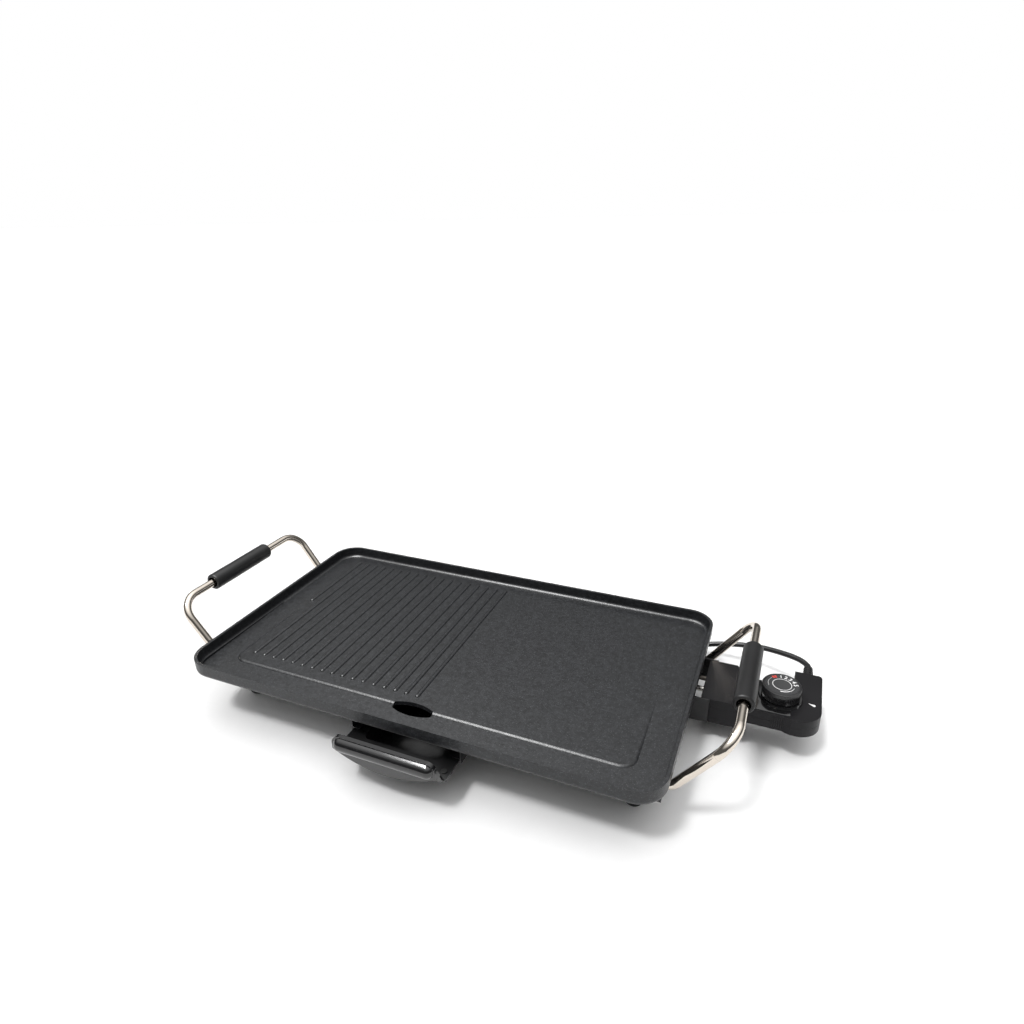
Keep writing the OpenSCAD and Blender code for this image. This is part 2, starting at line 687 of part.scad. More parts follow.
module nose_holes() {
    for (s = [-1, 1]) translate([nose_x - 1, control_y + s * pin_gap / 2, terminal_z]) rotate([0, 90, 0])
        cylinder(r = pin_r + gap, h = cover_wall + 2);
    translate([nose_x - 1, control_y, terminal_z]) rotate([0, 90, 0]) cylinder(r = probe_r + fit, h = cover_wall + 2);
}

module relief_hole() {
    translate([relief_x, block_rear - 6, split_z]) rotate([-90, 0, 0]) cylinder(r = relief_r() + fit, h = 8);
}

function relief_r() = relief_flange() - 0.8;
function relief_flange() = deck_h / 2 - cover_wall - gap;

module control_top_cover() {
    color(black) difference() {
        union() {
            difference() {
                translate([0, 0, split_z + gap / 2]) linear_extrude(control_z - split_z - gap / 2) control_outline(0);
                translate([0, 0, split_z - 1])
                    linear_extrude(control_z - split_z + 1 - cover_wall) control_outline(cover_wall);
            }
            for (p = control_screw_points()) translate([p[0], p[1], split_z + gap / 2])
                cylinder(r = boss_r, h = control_z - split_z - 1);
        }
        for (p = control_screw_points()) translate([p[0], p[1], split_z - 1])
            cylinder(r = m3 + fit, h = control_z - split_z - 1);
        translate([knob_x, knob_y, control_z - 5]) cylinder(r = shaft_r + 1.5, h = 6);
        nose_holes();
        relief_hole();
    }
}

module control_bottom_cover() {
    color(black) difference() {
        union() {
            difference() {
                union() {
                    translate([0, 0, deck_z]) linear_extrude(split_z - deck_z) control_outline(0);
                    translate([0, 0, nose_z]) linear_extrude(split_z - nose_z) nose_outline(0);
                }
                translate([0, 0, deck_z + cover_wall]) linear_extrude(split_z - deck_z) control_outline(cover_wall);
                translate([0, 0, nose_z + cover_wall]) linear_extrude(split_z - nose_z) nose_outline(cover_wall);
            }
            for (p = control_screw_points()) translate([p[0], p[1], p[2]]) cylinder(r = boss_r, h = split_z - p[2]);
        }
        for (p = control_screw_points()) {
            translate([p[0], p[1], p[2] - 1]) cylinder(r = m3 + fit, h = split_z - p[2] + 2);
            translate([p[0], p[1], p[2] - 1]) cylinder(r = 2.8, h = 3);
        }
        nose_holes();
        relief_hole();
    }
}

module control_screws() {
    color(zinc) for (p = control_screw_points())
        screw_up(p[0], p[1], p[2] + 0.2, m3, control_z - p[2] - 4, 2.7, 1.7);
}

module knob_bezel() {
    color(black) translate([knob_x, knob_y, control_z]) difference() {
        cylinder(r1 = bezel_r, r2 = bezel_r - 1.2, h = bezel_h);
        translate([0, 0, -1]) cylinder(r = shaft_r + 1.5, h = bezel_h + 2);
    }
}

module control_knob() {
    color(black) translate([knob_x, knob_y, knob_z]) difference() {
        union() {
            cylinder(r = knob_r, h = knob_h - 1.5);
            translate([0, 0, knob_h - 1.5]) cylinder(r1 = knob_r, r2 = knob_r - 1, h = 1.5);
        }
        translate([0, 0, knob_h - 0.8]) cylinder(r = knob_r - 2.4, h = 2);
        difference() {
            translate([0, 0, -1]) cylinder(r = knob_r - 2.6, h = knob_h - 2.4);
            cylinder(r = shaft_r + 2.4, h = knob_h);
        }
        translate([0, 0, -1]) cylinder(r = shaft_r + fit, h = knob_h - 2.4);
    }
}

module dial_disc() {
    color("#3a3b3d") translate([knob_x, knob_y, knob_top - 0.8]) cylinder(r = knob_r - 2.4 - fit, h = 0.8);
}

module knob_shaft() {
    color(steel) translate([knob_x, knob_y, switch_top - 6]) cylinder(r = shaft_r, h = knob_top - 4 - switch_top + 6);
}

module thermostat_switch() {
    h = switch_top - deck_z - cover_wall - gap;
    color("tan") difference() {
        translate([knob_x - 11, knob_y - 13, switch_top - h]) cube([22, 26, h]);
        translate([knob_x, knob_y, switch_top - 6.5]) cylinder(r = shaft_r + fit, h = 8);
    }
}

module contact_sockets() {
    x = nose_x + cover_wall + gap;
    color("goldenrod") for (s = [-1, 1])
        translate([x, control_y + s * pin_gap / 2, terminal_z]) rotate([0, 90, 0]) difference() {
            cylinder(r = pin_r + socket_wall, h = socket_l);
            translate([0, 0, -1]) cylinder(r = pin_r + fit, h = socket_l);
        }
}

module temperature_probe() {
    color(steel) translate([probe_tip, control_y, terminal_z]) rotate([0, 90, 0]) {
        sphere(probe_r);
        cylinder(r = probe_r, h = nose_x + 20 - probe_tip);
        translate([0, 0, nose_x + cover_wall + gap - probe_tip]) cylinder(r = probe_r + 3, h = 3);
    }
}

module inner_leads() {
    r = 1.1;
    z = split_z;
    x0 = nose_x + cover_wall + gap + socket_l;
    color("firebrick") bent_rod([[x0, control_y - pin_gap / 2, terminal_z], [x0 + 10, control_y - pin_gap / 2, terminal_z],
        [x0 + 14, control_y - 14, z], [knob_x - 11, control_y - 14, z]], [0, 3, 3, 0], r);
    color("steelblue") bent_rod([[relief_x + 3, block_rear - 7, z], [relief_x + 3, control_y + 12, z],
        [relief_x - 3, control_y + 4, z], [knob_x + 11, control_y + 4, z]], [0, 3, 3, 0], r);
}

// ---------------------------------------------------------------- cord

module strain_relief() {
    color(black) translate([relief_x, 0, split_z]) rotate([-90, 0, 0]) {
        translate([0, 0, block_rear - 5.5]) cylinder(r = relief_flange(), h = 2.6);
        translate([0, 0, block_rear - 5.5]) cylinder(r = relief_r(), h = 5.5);
        translate([0, 0, block_rear]) cylinder(r1 = relief_r(), r2 = relief_r() - 0.7, h = relief_l - 3);
        translate([0, 0, block_rear + relief_l - 3]) cylinder(r1 = relief_r() - 0.7, r2 = cord_r + 0.6, h = 3);
    }
}

// Tube of radius r along the points p, with n sides
module cord_tube(p, r, n) {
    last = len(p) - 1;
    function along(i) = unit(p[min(i + 1, last)] - p[max(i - 1, 0)]);
    function side(i) = unit(cross([0, 0, 1], along(i)));
    function ring(i) = [for (k = [0 : n - 1])
        p[i] + r * (cos(360 * k / n) * side(i) + sin(360 * k / n) * cross(along(i), side(i)))];
    walls = [for (i = [0 : last - 1], k = [0 : n - 1])
        [i * n + k, (i + 1) * n + k, (i + 1) * n + (k + 1) % n, i * n + (k + 1) % n]];
    ends = [[for (k = [0 : n - 1]) k], [for (k = [n - 1 : -1 : 0]) last * n + k]];
    polyhedron([for (i = [0 : last]) each ring(i)], concat(walls, ends));
}

module power_cord() {
    color(black) cord_tube(cord_route, cord_r, 10);
}

module cord_tail() {
    color(black) cord_tube(tail_route, cord_r, 10);
}

module coil_section(grow) {
    round_rect(coil_in - grow, coil_z - grow, coil_out + grow, coil_z + coil_h + grow, 2.5 + grow);
}

module cord_coil() {
    color(black) translate([coil_x, coil_y, 0]) rotate_extrude() coil_section(0);
}

module cord_tie() {
    color("dimgray") translate([coil_x, coil_y, 0]) rotate(173) rotate_extrude(angle = 14) difference() {
        coil_section(tie_t + 0.1);
        coil_section(0.1);
    }
}

module plug_body() {
    color(black) translate([plug_x, plug_y, plug_z]) rotate([0, -90, 0]) {
        cylinder(r1 = cord_r + 1.1, r2 = 5, h = 14);
        translate([0, 0, 14]) cylinder(r1 = 7, r2 = 10, h = 8);
        translate([0, 0, 22]) linear_extrude(18) round_rect(-10.5, -12.5, 10.5, 12.5, 4);
    }
}

module plug_blades() {
    color(steel) translate([plug_x - 40, plug_y, plug_z]) {
        for (s = [-1, 1]) translate([-16, s * 6.35 - 0.75, 0]) cube([16, 1.5, 6.4]);
        translate([0, 0, -4.5]) rotate([0, -90, 0]) cylinder(r = 2.4, h = 18);
    }
}

griddle_plate();
legs();
leg_screws();
foot_pads();
handle_rod(-1);  // handle_rod_left
handle_rod(1);  // handle_rod_right
grip(-1);  // grip_left
grip(1);  // grip_right
rod_clamps();
clamp_screws();
heating_element();
element_clips();
clip_screws();
terminal_pins();
terminal_seals();
terminal_guard();
guard_screws();
tray_rail(-1);  // tray_rail_left
tray_rail(1);  // tray_rail_right
rail_screws();
drip_tray();
tray_handle();
tray_rivets();
control_top_cover();
control_bottom_cover();
control_screws();
knob_bezel();
control_knob();
dial_disc();
knob_shaft();
thermostat_switch();
contact_sockets();
temperature_probe();
inner_leads();
strain_relief();
power_cord();
cord_coil();
cord_tail();
cord_tie();
plug_body();
plug_blades();
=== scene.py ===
"""Table griddle with wire handles, a drip tray and a plug-in thermostat control."""
import math

import bmesh
import bpy
from bpy.props import FloatProperty, FloatVectorProperty, IntProperty, PointerProperty
from mathutils import Matrix, Vector


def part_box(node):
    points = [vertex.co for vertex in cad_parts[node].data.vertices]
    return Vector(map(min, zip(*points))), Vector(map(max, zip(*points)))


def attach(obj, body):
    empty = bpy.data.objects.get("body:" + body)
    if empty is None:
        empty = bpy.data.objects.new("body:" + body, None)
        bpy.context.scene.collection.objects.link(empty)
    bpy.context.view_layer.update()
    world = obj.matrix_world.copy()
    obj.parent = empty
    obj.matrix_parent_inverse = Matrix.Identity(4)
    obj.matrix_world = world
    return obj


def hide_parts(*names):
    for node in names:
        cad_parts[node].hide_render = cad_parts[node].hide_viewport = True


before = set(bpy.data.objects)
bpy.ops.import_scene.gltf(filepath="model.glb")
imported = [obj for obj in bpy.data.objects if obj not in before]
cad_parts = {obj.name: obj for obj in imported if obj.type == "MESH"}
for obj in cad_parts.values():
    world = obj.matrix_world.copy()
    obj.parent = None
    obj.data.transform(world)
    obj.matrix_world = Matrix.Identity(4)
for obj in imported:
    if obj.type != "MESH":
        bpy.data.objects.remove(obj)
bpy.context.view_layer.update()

bl_info = {
    "name": "Table griddle",
    "version": (1, 0, 0),
    "blender": (4, 5, 0),
    "location": "View3D > Sidebar > Griddle",
    "description": "Finishes a table griddle and its drip tray, thermostat control and cord",
    "category": "Add Mesh",
}

MM = 0.001
FULL_TURN = 360


def at(*mm):
    """A place given in millimetres, in metres."""
    return Vector([value * MM for value in mm])


# ------------------------------------------------------------------ sizes and colours


class GriddleSizes(bpy.types.PropertyGroup):
    """Sizes of the pieces that are modelled here."""

    cord_diameter: FloatProperty(
        name="Cord diameter", description="Outside diameter of the power cord",
        default=0.0058, min=0.003, max=0.01, unit="LENGTH",
    )
    coil_pitch: FloatProperty(
        name="Coil pitch", description="Distance between neighbouring turns of the coiled cord",
        default=0.0059, min=0.004, max=0.02, unit="LENGTH",
    )
    flutes: IntProperty(
        name="Knob flutes", description="Number of grooves round the knob",
        default=60, min=24, max=120,
    )
    flute_depth: FloatProperty(
        name="Flute depth", description="Depth of the grooves round the knob",
        default=0.0006, min=0.0002, max=0.002, unit="LENGTH",
    )
    cover_edge: FloatProperty(
        name="Cover edge", description="Rounding of the thermostat control's edges",
        default=0.0011, min=0.0002, max=0.002, unit="LENGTH",
    )
    print_height: FloatProperty(
        name="Print height", description="Height of the printed marks above the dial",
        default=0.00008, min=0.00002, max=0.0005, unit="LENGTH",
    )


def colour(name, description, value):
    """A colour property with a name, a description and a linear RGB default."""
    return FloatVectorProperty(
        name=name, description=description, default=value, subtype="COLOR", size=3, min=0, max=1
    )


class GriddleColours(bpy.types.PropertyGroup):
    """Colours of the main finishes."""

    coating: colour("Coating", "Non-stick coating of the cooking plate", (0.0110, 0.0119, 0.0136))
    fleck: colour("Fleck", "Pale flecks in the non-stick coating", (0.16, 0.17, 0.18))
    chrome: colour("Chrome", "Plated handle rods", (0.66, 0.60, 0.53))
    grip: colour("Grip", "Moulded hand grips", (0.0085, 0.0085, 0.009))
    gloss: colour("Gloss black", "Glossy moulded parts", (0.007, 0.007, 0.0075))
    control: colour("Control", "Covers of the thermostat control", (0.0062, 0.0058, 0.0070))
    tray: colour("Tray", "Paint of the drip tray", (0.006, 0.006, 0.0065))
    marks: colour("Marks", "Printed marks on the dial", (0.80, 0.80, 0.80))
    off_mark: colour("Off mark", "Mark of the dial's off position", (0.62, 0.05, 0.035))


class GriddleStage(bpy.types.PropertyGroup):
    """Floor and light of the scene."""

    floor: colour("Floor", "Colour of the floor", (0.93, 0.93, 0.93))
    ambient: FloatProperty(
        name="Ambient", description="Strength of the light from overhead",
        default=1.9, min=0, max=5,
    )
    key: FloatProperty(
        name="Key light", description="Strength of the wide, soft light from above",
        default=1.35, min=0, max=20,
    )
    glint: FloatProperty(
        name="Glint light", description="Power of the light that only shows as gloss, in watts",
        default=50.0, min=0, max=500,
    )


def sizes():
    return bpy.context.scene.griddle_sizes


def colours():
    return bpy.context.scene.griddle_colours


# ------------------------------------------------------------------ mesh helpers

SHARP_ANGLE = 32  # degrees between two faces, above which their edge counts as sharp
DOUBLE_DIST = 0.00001  # metres between two vertices of a CAD mesh that are the same one
FLAT_ANGLE = 1  # degrees between two faces that count as one


def new_object(name, bm, material, body):
    """Makes a finished piece of a bmesh, smooth where its faces meet at a small angle."""
    mesh = bpy.data.meshes.new(name)
    bm.normal_update()
    bm.to_mesh(mesh)
    bm.free()
    mesh.materials.append(material)
    mesh.shade_smooth()
    mesh.set_sharp_from_angle(angle=math.radians(SHARP_ANGLE))
    piece = bpy.data.objects.new(name, mesh)
    bpy.context.scene.collection.objects.link(piece)
    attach(piece, body)
    return piece


def bevel_sharp(bm, width, segments=3):
    """Rounds every sharp edge of a bmesh."""
    limit = math.radians(SHARP_ANGLE)
    sharp = [e for e in bm.edges if len(e.link_faces) == 2 and e.calc_face_angle(0) > limit]
    bmesh.ops.bevel(bm, geom=sharp, offset=width, offset_type="OFFSET", segments=segments,
                    profile=0.5, affect="EDGES", material=-1, clamp_overlap=True)


def softened(node, name, width, material, body):
    """Stands in for a CAD node with the same shape and rounded edges."""
    bm = bmesh.new()
    bm.from_mesh(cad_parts[node].data)
    bmesh.ops.remove_doubles(bm, verts=bm.verts, dist=DOUBLE_DIST)
    bmesh.ops.dissolve_limit(bm, angle_limit=math.radians(FLAT_ANGLE), verts=bm.verts,
                             edges=bm.edges)
    bevel_sharp(bm, width)
    piece = new_object(name, bm, material, body)
    even = piece.modifiers.new("Even shading", "WEIGHTED_NORMAL")
    even.keep_sharp = True
    even.weight = 100
    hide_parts(node)
    return piece


def extruded(outline, z0, z1):
    """A bmesh of a flat outline, drawn up from z0 to z1."""
    bm = bmesh.new()
    face = bm.faces.new([bm.verts.new((x, y, z0)) for x, y in outline])
    made = bmesh.ops.extrude_face_region(bm, geom=[face])
    up = [v for v in made["geom"] if isinstance(v, bmesh.types.BMVert)]
    bmesh.ops.translate(bm, verts=up, vec=(0, 0, z1 - z0))
    bmesh.ops.recalc_face_normals(bm, faces=bm.faces)
    return bm


def turned(profile, centre, steps, axis=(0, 0, 1)):
    """A bmesh of a profile of (radius, height) points, turned round an axis through centre."""
    bm = bmesh.new()
    turn = Vector((0, 0, 1)).rotation_difference(Vector(axis)).to_matrix().to_4x4()
    verts = [bm.verts.new((r, 0, z)) for r, z in profile]
    edges = [bm.edges.new(pair) for pair in zip(verts, verts[1:])]
    bmesh.ops.spin(bm, geom=verts + edges, cent=(0, 0, 0), axis=(0, 0, 1), angle=2 * math.pi,
                   steps=steps, use_merge=True)
    bmesh.ops.remove_doubles(bm, verts=bm.verts, dist=0.000001)
    bmesh.ops.recalc_face_normals(bm, faces=bm.faces)
    bmesh.ops.transform(bm, matrix=Matrix.Translation(centre) @ turn, verts=bm.verts)
    return bm


def rounded_rect(x0, y0, x1, y1, r, steps=8):
    """Points round a rectangle with round corners."""
    points = []
    for cx, cy, start in ((x1 - r, y1 - r, 0), (x0 + r, y1 - r, 90),
                          (x0 + r, y0 + r, 180), (x1 - r, y0 + r, 270)):
        for k in range(steps + 1):
            a = math.radians(start + 90 * k / steps)
            points.append((cx + r * math.cos(a), cy + r * math.sin(a)))
    return points


def band(r0, r1, start, end, steps):
    """Points round a flat arc between two radii; r0 and r1 are (at start, at end) pairs."""
    inner, outer = [], []
    for k in range(steps + 1):
        t = k / steps
        a = math.radians(start + (end - start) * t)
        for side, (first, last) in ((inner, r0), (outer, r1)):
            r = first + (last - first) * t
            side.append((r * math.cos(a), r * math.sin(a)))
    return outer + inner[::-1]


# ------------------------------------------------------------------ material helpers


def socket(group, name, kind, way, value=None):
    """Adds a socket to a node group's interface; way is INPUT or OUTPUT."""
    made = group.interface.new_socket(name=name, in_out=way, socket_type=kind)
    if value is not None:
        made.default_value = value
    return made


def linked(tree, kind, inputs=None, **settings):
    """Adds a node with its settings and with values or links on its inputs."""
    node = tree.nodes.new(kind)
    for key, value in settings.items():
        setattr(node, key, value)
    for key, value in (inputs or {}).items():
        if isinstance(value, bpy.types.NodeSocket):
            tree.links.new(value, node.inputs[key])
        else:
            node.inputs[key].default_value = value
    return node


def grain_group():
    """Fine grain of a moulded or coated surface: two tones, roughness and a bumpy normal."""
    name = "Fine grain"
    if name in bpy.data.node_groups:
        return bpy.data.node_groups[name]
    group = bpy.data.node_groups.new(name, "ShaderNodeTree")
    socket(group, "Vector", "NodeSocketVector", "INPUT")
    socket(group, "Scale", "NodeSocketFloat", "INPUT", 1500.0)
    socket(group, "Blotch scale", "NodeSocketFloat", "INPUT", 22.0)
    socket(group, "Tone A", "NodeSocketColor", "INPUT")
    socket(group, "Tone B", "NodeSocketColor", "INPUT")
    socket(group, "Rough A", "NodeSocketFloat", "INPUT", 0.4)
    socket(group, "Rough B", "NodeSocketFloat", "INPUT", 0.5)
    socket(group, "Depth", "NodeSocketFloat", "INPUT", 0.3)
    for out, kind in (("Color", "NodeSocketColor"), ("Roughness", "NodeSocketFloat"),
                      ("Normal", "NodeSocketVector")):
        socket(group, out, kind, "OUTPUT")
    ins = linked(group, "NodeGroupInput").outputs
    fine = linked(group, "ShaderNodeTexNoise", {"Vector": ins["Vector"], "Scale": ins["Scale"],
                                                "Detail": 3.0, "Roughness": 0.6})
    blotch = linked(group, "ShaderNodeTexNoise", {"Vector": ins["Vector"],
                                                  "Scale": ins["Blotch scale"], "Detail": 4.0})
    both = linked(group, "ShaderNodeMath", {0: fine.outputs["Fac"], 1: blotch.outputs["Fac"]},
                  operation="MULTIPLY")
    mask = linked(group, "ShaderNodeMapRange", {"Value": both.outputs[0], "From Min": 0.15,
                                                "From Max": 0.38})
    tone = linked(group, "ShaderNodeMix", {"Factor": mask.outputs[0], "A": ins["Tone A"],
                                           "B": ins["Tone B"]}, data_type="RGBA")
    rough = linked(group, "ShaderNodeMapRange", {"Value": blotch.outputs["Fac"], "From Min": 0.3,
                                                 "From Max": 0.7, "To Min": ins["Rough A"],
                                                 "To Max": ins["Rough B"]})
    bump = linked(group, "ShaderNodeBump", {"Height": fine.outputs["Fac"],
                                            "Strength": ins["Depth"], "Distance": 0.0002})
    linked(group, "NodeGroupOutput", {"Color": tone.outputs["Result"],
                                      "Roughness": rough.outputs[0],
                                      "Normal": bump.outputs["Normal"]})
    return group


def scuff_group():
    """Thin scuffs that cross a surface, as a mask."""
    name = "Scuffs"
    if name in bpy.data.node_groups:
        return bpy.data.node_groups[name]
    group = bpy.data.node_groups.new(name, "ShaderNodeTree")
    socket(group, "Vector", "NodeSocketVector", "INPUT")
    socket(group, "Scale", "NodeSocketFloat", "INPUT", 40.0)
    socket(group, "Amount", "NodeSocketFloat", "INPUT", 0.5)
    socket(group, "Mask", "NodeSocketFloat", "OUTPUT")
    ins = linked(group, "NodeGroupInput").outputs
    stretch = linked(group, "ShaderNodeMapping", {"Vector": ins["Vector"],
                                                  "Rotation": (0.2, 0.1, 0.6),
                                                  "Scale": (0.06, 1.0, 1.0)})
    lines = linked(group, "ShaderNodeTexNoise", {"Vector": stretch.outputs[0],
                                                 "Scale": ins["Scale"], "Detail": 6.0,
                                                 "Roughness": 0.7, "Distortion": 0.4})
    mask = linked(group, "ShaderNodeMapRange", {"Value": lines.outputs["Fac"],
                                                "From Min": 0.62, "From Max": 0.74,
                                                "To Max": ins["Amount"]})
    linked(group, "NodeGroupOutput", {"Mask": mask.outputs[0]})
    return group


def tone_of(base, gain):
    """A colour made lighter or darker by a factor, with alpha 1."""
    return tuple(min(1.0, c * gain) for c in base[:3]) + (1.0,)


def finish(name, base, rough, depth=0.3, scale=1500.0, contrast=1.35, spread=0.08, metallic=0.0,
           coat=0.0, specular=0.5, scuffs=0.0, blotch=22.0):
    """A material with fine grain, patchy roughness and, where scuffs is above 0, light scuffs."""
    if name in bpy.data.materials:
        return bpy.data.materials[name]
    material = bpy.data.materials.new(name)
    material.use_nodes = True
    tree = material.node_tree
    tree.nodes.clear()
    place = linked(tree, "ShaderNodeTexCoord").outputs["Object"]
    grain = linked(tree, "ShaderNodeGroup", {
        "Vector": place, "Scale": scale, "Blotch scale": blotch,
        "Tone A": tone_of(base, 1 / contrast), "Tone B": tone_of(base, contrast),
        "Rough A": max(0.02, rough - spread), "Rough B": rough + spread,
        "Depth": depth}, node_tree=grain_group())
    shader = linked(tree, "ShaderNodeBsdfPrincipled", {
        "Base Color": grain.outputs["Color"], "Roughness": grain.outputs["Roughness"],
        "Normal": grain.outputs["Normal"], "Metallic": metallic, "Coat Weight": coat,
        "Coat Roughness": 0.05, "Specular IOR Level": specular})
    if scuffs:
        mask = linked(tree, "ShaderNodeGroup", {"Vector": place, "Amount": scuffs},
                      node_tree=scuff_group())
        total = linked(tree, "ShaderNodeMath", {0: grain.outputs["Roughness"],
                                                1: mask.outputs["Mask"]}, operation="ADD")
        tree.links.new(total.outputs[0], shader.inputs["Roughness"])
    linked(tree, "ShaderNodeOutputMaterial", {"Surface": shader.outputs["BSDF"]})
    return material


def clad(nodes, material):
    """Gives CAD nodes a material of this scene."""
    for node in nodes:
        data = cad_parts[node].data
        data.materials.clear()
        data.materials.append(material)


def gloss_black():
    return finish("Gloss black phenolic", colours().gloss, 0.11, depth=0.02, scale=300.0,
                  contrast=1.15, spread=0.035, coat=0.5)


def satin_control():
    return finish("Satin control plastic", colours().control, 0.43, depth=0.16, scale=2600.0,
                  contrast=1.18, spread=0.05, specular=0.22)


def zinc():
    return finish("Bright zinc plate", (0.56, 0.56, 0.55), 0.32, depth=0.12, scale=900.0,
                  metallic=1.0, scuffs=0.2)


def nickel():
    return finish("Bright nickel", (0.74, 0.72, 0.68), 0.20, depth=0.05, scale=1200.0,
                  contrast=1.12, metallic=1.0, scuffs=0.12)


def guard_paint():
    return finish("Guard paint", (0.012, 0.012, 0.013), 0.42, depth=0.30, scale=1000.0)


def cord_rubber():
    return finish("Cord jacket", (0.008, 0.008, 0.0085), 0.36, depth=0.10, scale=1800.0,
                  contrast=1.2, spread=0.06, specular=0.36)


# ------------------------------------------------------------------ camera and cord numbers

# the view of the photograph: sensor and lens in millimetres, place in metres
CAMERA_SENSOR = 36.0
CAMERA_LENS = 24.32
CAMERA_PLACE = (0.2934, -0.5385, 0.4721)
CAMERA_RIGHT = (0.92103, 0.38910, -0.01747)
CAMERA_AHEAD = (-0.36355, 0.84272, -0.39705)

# points of the cord and sizes of its coil in millimetres, angles in degrees
CORD_ROUTE = [
    (337.5, 115, 39.5), (337.2, 118.4, 39.5), (334.8, 123, 39.3), (330.3, 128.2, 38.7),
    (323.4, 133.8, 37.5), (314.6, 139.4, 35.6), (304.2, 145.2, 33.2), (293, 150.8, 30.4),
    (280, 154.8, 27.3), (267, 157.8, 24), (254, 159.8, 20.4), (241, 160.6, 16.6),
    (228, 160.2, 12.8), (215, 158.4, 9.2), (202, 155.6, 6.2), (189, 152.2, 4.4),
    (176, 148.8, 3.8), (168, 146.95, 3.8), (158, 144.9, 3.8), (148, 143.5, 3.8),
]
CORD_TAIL = [(128, 143.06, 9.7), (116, 143.2, 9.8), (110, 143.25, 10.1), (104, 143.14, 10.5),
             (100, 143.14, 10.5)]
COIL_CENTRE = (140, 182)
COIL_MIDDLE = 33.06
COIL_TURNS = 6
COIL_TURN_POINTS = 24
COIL_FLOOR = 3.8
COIL_LIFT = 5.85
LIFT_START, LIFT_END = 2 * FULL_TURN + 180, 2 * FULL_TURN + 250
STEP_START, STEP_END = 250, 320
STEP_TURNS = ((0, -1), (1, -1), (3, 1), (4, 1))  # turn, and -1 for inwards or 1 for outwards


def ease(a, start, end):
    """Goes smoothly from 0 to 1 while a goes from start to end."""
    t = min(1.0, max(0.0, (a - start) / (end - start)))
    return t * t * (3 - 2 * t)


def coil_points():
    """Centre line of the coil: inwards on the floor, up, and outwards on top of itself."""
    pitch = sizes().coil_pitch / MM
    points = []
    for k in range(COIL_TURNS * COIL_TURN_POINTS + 1):
        a = k * FULL_TURN // COIL_TURN_POINTS
        steps = sum(way * ease(a, STEP_START + FULL_TURN * turn, STEP_END + FULL_TURN * turn)
                    for turn, way in STEP_TURNS)
        r = COIL_MIDDLE + pitch * (1 + steps)
        z = COIL_FLOOR + COIL_LIFT * ease(a, LIFT_START, LIFT_END)
        angle = math.radians(-90 - a)
        points.append((COIL_CENTRE[0] + r * math.cos(angle),
                       COIL_CENTRE[1] + r * math.sin(angle), z))
    return points


# ------------------------------------------------------------------ pieces



class GRIDDLE_OT_camera(bpy.types.Operator):
    """Set up the camera in front of the griddle, to its right and above it"""

    bl_idname = "griddle.camera"
    bl_label = "Camera"

    def execute(self, context):
        data = bpy.data.cameras.new("Camera")
        data.sensor_fit = "HORIZONTAL"
        data.sensor_width = CAMERA_SENSOR
        data.lens = CAMERA_LENS
        data.clip_start, data.clip_end = 0.01, 50.0
        camera = bpy.data.objects.new("Camera", data)
        context.scene.collection.objects.link(camera)
        camera.location = CAMERA_PLACE
        right, ahead = Vector(CAMERA_RIGHT), Vector(CAMERA_AHEAD)
        camera.rotation_mode = "QUATERNION"
        axes = Matrix((right, right.cross(ahead), -ahead)).transposed()
        camera.rotation_quaternion = axes.to_quaternion()
        context.scene.camera = camera
        return {"FINISHED"}


class GRIDDLE_OT_cord(bpy.types.Operator):
    """Lay the power cord from the control to its coil and its plug"""

    bl_idname = "griddle.cord"
    bl_label = "Power cord"

    def execute(self, context):
        points = CORD_ROUTE + coil_points() + CORD_TAIL
        curve = bpy.data.curves.new("power_lead", "CURVE")
        curve.dimensions = "3D"
        curve.bevel_depth = sizes().cord_diameter / 2
        curve.bevel_resolution = 4
        curve.resolution_u = 3
        curve.use_fill_caps = True
        spline = curve.splines.new("BEZIER")
        spline.bezier_points.add(len(points) - 1)
        for bead, place in zip(spline.bezier_points, points):
            bead.co = at(*place)
            bead.handle_left_type = bead.handle_right_type = "AUTO"
        curve.materials.append(cord_rubber())
        lead = bpy.data.objects.new("power_lead", curve)
        context.scene.collection.objects.link(lead)
        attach(lead, "control")
        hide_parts("power_cord", "cord_coil", "cord_tail")
        self.strain_relief()
        plug = softened("plug_body", "plug_moulding", 0.0012, cord_rubber(), "control")
        clad(["plug_blades"], nickel())
        tie = finish("Cord tie", (0.03, 0.03, 0.03), 0.45, depth=0.2)
        clad(["cord_tie"], tie)
        return {"FINISHED"}

    def strain_relief(self):
        """Tapered sleeve with shallow rings, where the cord leaves the control."""
        low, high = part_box("strain_relief")
        centre = Vector(((low.x + high.x) / 2, 0, (low.z + high.z) / 2))
        start, end = low.y, high.y
        collar = (high.z - low.z) / 2
        sleeve, tip = 0.0052, sizes().cord_diameter / 2 + 0.0005
        collar_end, rings_start, ring_step = start + 0.0026, start + 0.0090, 0.0042
        profile = [(0, start), (collar, start), (collar, collar_end), (sleeve, collar_end),
                   (sleeve, rings_start)]
        for k in range(4):
            y = rings_start + ring_step * k
            r = sleeve - 0.0002 * k
            profile += [(r - 0.0005, y + 0.0004), (r - 0.0005, y + 0.0012), (r, y + 0.0016),
                        (r - 0.0001, y + ring_step)]
        profile += [(tip + 0.0009, end - 0.0008), (tip, end), (0, end)]
        bm = turned(profile, centre, 48, axis=(0, 1, 0))
        piece = new_object("strain_sleeve", bm, cord_rubber(), "control")
        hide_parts("strain_relief")


